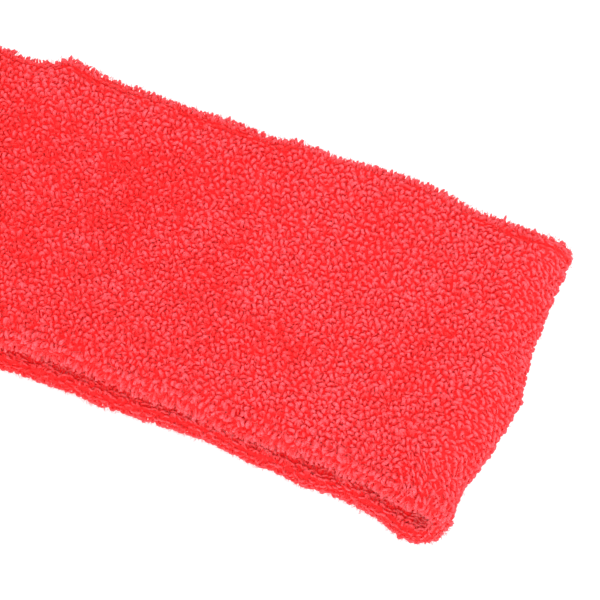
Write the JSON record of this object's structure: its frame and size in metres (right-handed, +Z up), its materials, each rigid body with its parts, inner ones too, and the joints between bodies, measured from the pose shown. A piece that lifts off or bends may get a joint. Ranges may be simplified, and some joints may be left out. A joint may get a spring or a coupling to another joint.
{
  "type": "terry sports headband",
  "caption": "Endless double-walled terry cloth headband with laid-in elastic, flattened as it lies on a table, for soaking up sweat in racket sports.",
  "frame": {"origin": "middle of the flat face that the flattened band rests on, at the bottom of its bounding box", "axes": "+X along the flattened loop, +Y across the cloth from the folded rim to the seamed rim, +Z up from the surface it lies on"},
  "size_m": [0.185, 0.055, 0.0142],
  "materials": {
    "outer_terry": "looped cotton pile, matt coral red",
    "inner_terry": "looped cotton pile, matt coral red",
    "seam_thread": "spun sewing yarn",
    "covered_elastic": "rubber core wrapped in fine yarn"
  },
  "bodies": {
    "root": {"outer_terry_wall": "outer_terry", "inner_terry_wall": "inner_terry", "rim_seam_thread": "seam_thread", "elastic_thread_01": "covered_elastic", "elastic_thread_02": "covered_elastic", "elastic_thread_03": "covered_elastic", "elastic_thread_04": "covered_elastic", "elastic_thread_05": "covered_elastic", "elastic_thread_06": "covered_elastic", "elastic_thread_07": "covered_elastic", "elastic_thread_08": "covered_elastic", "elastic_thread_09": "covered_elastic", "elastic_thread_10": "covered_elastic", "elastic_thread_11": "covered_elastic", "elastic_thread_12": "covered_elastic"}
  },
  "joints": []
}
